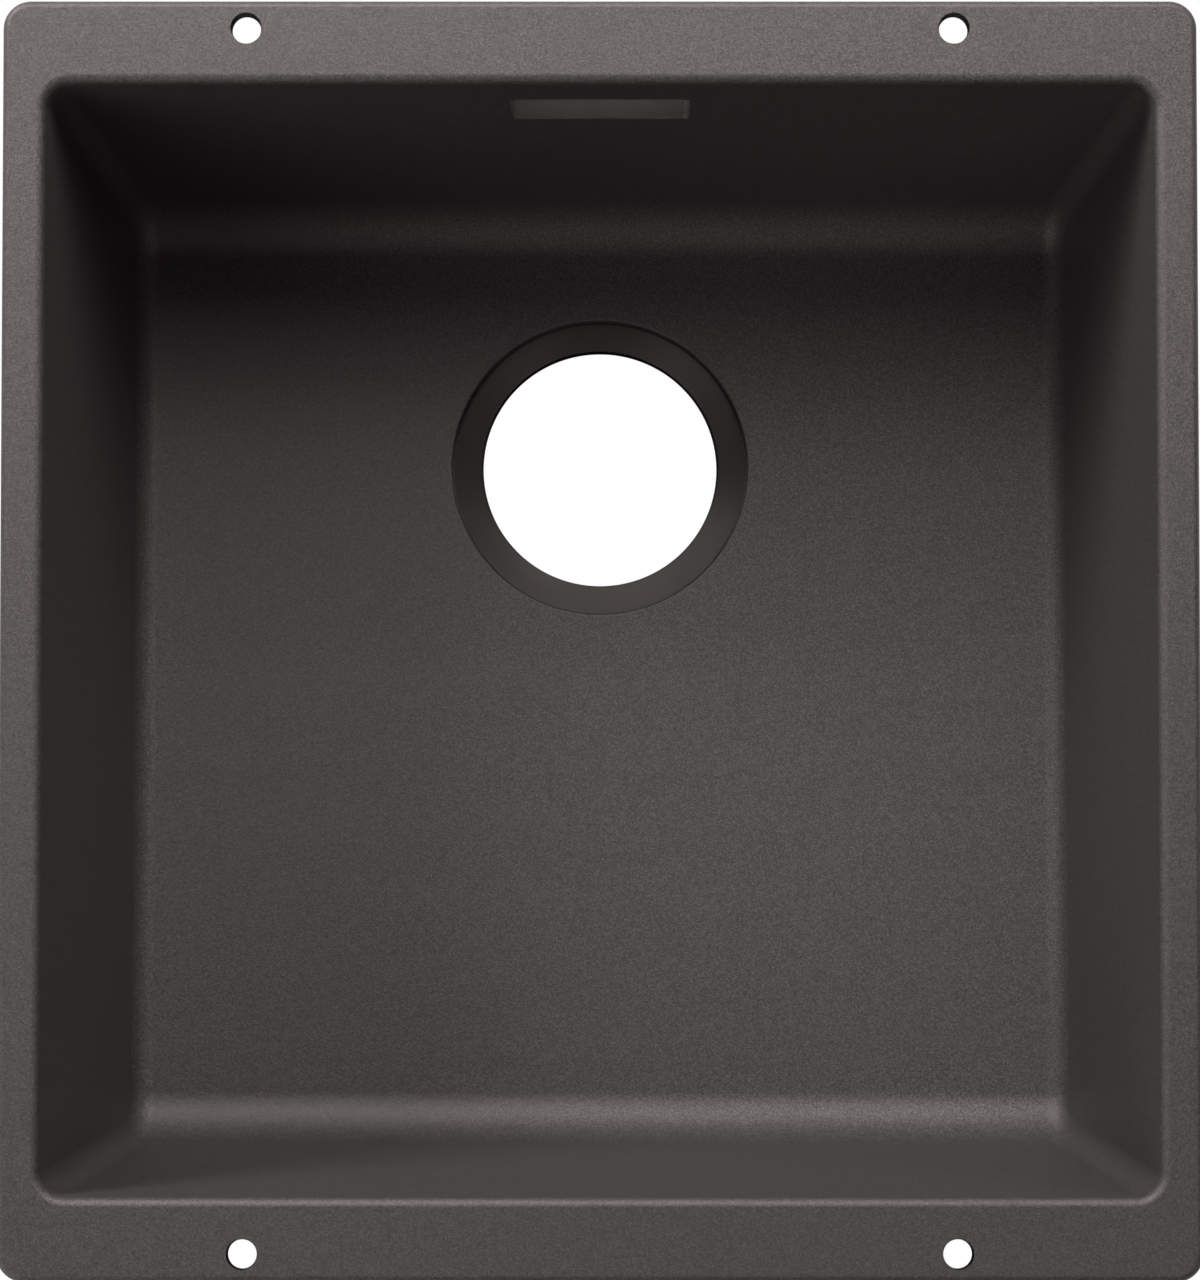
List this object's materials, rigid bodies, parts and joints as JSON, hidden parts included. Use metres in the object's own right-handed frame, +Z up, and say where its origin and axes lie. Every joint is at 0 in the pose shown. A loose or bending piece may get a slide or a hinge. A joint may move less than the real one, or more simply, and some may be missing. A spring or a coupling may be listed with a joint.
{
  "type": "undermount kitchen sink",
  "caption": "Square-mouthed undermount kitchen sink bowl with a flat drilled rim, rear drain hole in a round recess, overflow slot and rear overflow box.",
  "frame": {"origin": "centre of the rim's outline in X and Y, on the flat underside of the bowl in Z", "axes": "+Z up through the open mouth, +Y towards the wall with the overflow slot, +X to the right when the overflow is at the back"},
  "size_m": [0.43, 0.46, 0.202],
  "materials": {
    "composite": "fine-grained quartz composite, silky matt",
    "insert_brass": "turned, plain",
    "seal_rubber": "matt black EPDM",
    "box_plastic": "natural polypropylene, milky and translucent, fine spark-eroded texture",
    "tail_plastic": "dark grey polypropylene",
    "fastener_steel": "stainless, turned"
  },
  "bodies": {
    "root": {"basin": "composite", "threaded_inserts": "insert_brass", "overflow_gasket": "seal_rubber", "overflow_box": "box_plastic", "overflow_box_cover": "box_plastic", "flange_washers": "fastener_steel", "flange_screws": "fastener_steel", "outlet_seal": "seal_rubber", "hose_tail": "tail_plastic", "union_nut": "tail_plastic"}
  },
  "joints": []
}
